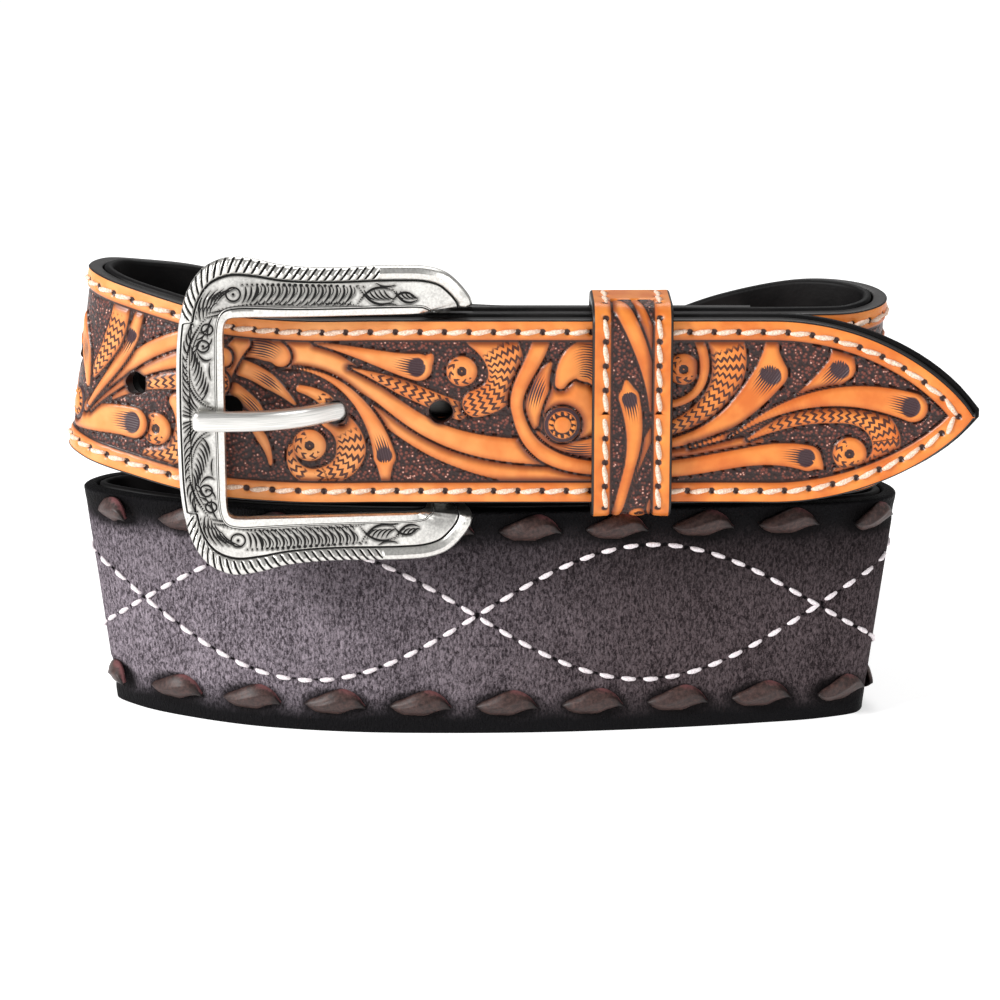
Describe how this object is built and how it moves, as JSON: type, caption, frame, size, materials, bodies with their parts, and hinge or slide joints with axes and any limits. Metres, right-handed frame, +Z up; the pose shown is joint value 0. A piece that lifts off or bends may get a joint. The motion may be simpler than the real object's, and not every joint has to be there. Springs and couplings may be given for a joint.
{
  "type": "western tooled belt",
  "caption": "Leather belt with floral-tooled narrow ends, a wide dark body, a silver frame buckle and a keeper, buckled and coiled in two turns that stand on edge.",
  "frame": {"origin": "centre of the base that the coiled belt stands on", "axes": "+X along the coil's length, from the buckle towards the belt's tip; +Y from the buckle's side to the back of the coil; +Z up"},
  "size_m": [0.184, 0.0586, 0.1022],
  "materials": {
    "tooled_leather": "floral tooling, satin, antiqued dark in the cuts",
    "dark_leather": "matt nubuck, darker at the edges",
    "black_leather": "smooth black with burnished edges",
    "antique_silver": "cast silver-coloured alloy, engraved, blackened in the cuts"
  },
  "bodies": {
    "root": {"body_panel": "dark_leather", "lining": "black_leather", "tip_billet": "tooled_leather", "buckle_billet": "tooled_leather", "keeper": "tooled_leather", "buckle_frame": "antique_silver", "buckle_prong": "antique_silver", "fold_screw_1": "antique_silver", "fold_screw_2": "antique_silver"}
  },
  "joints": []
}
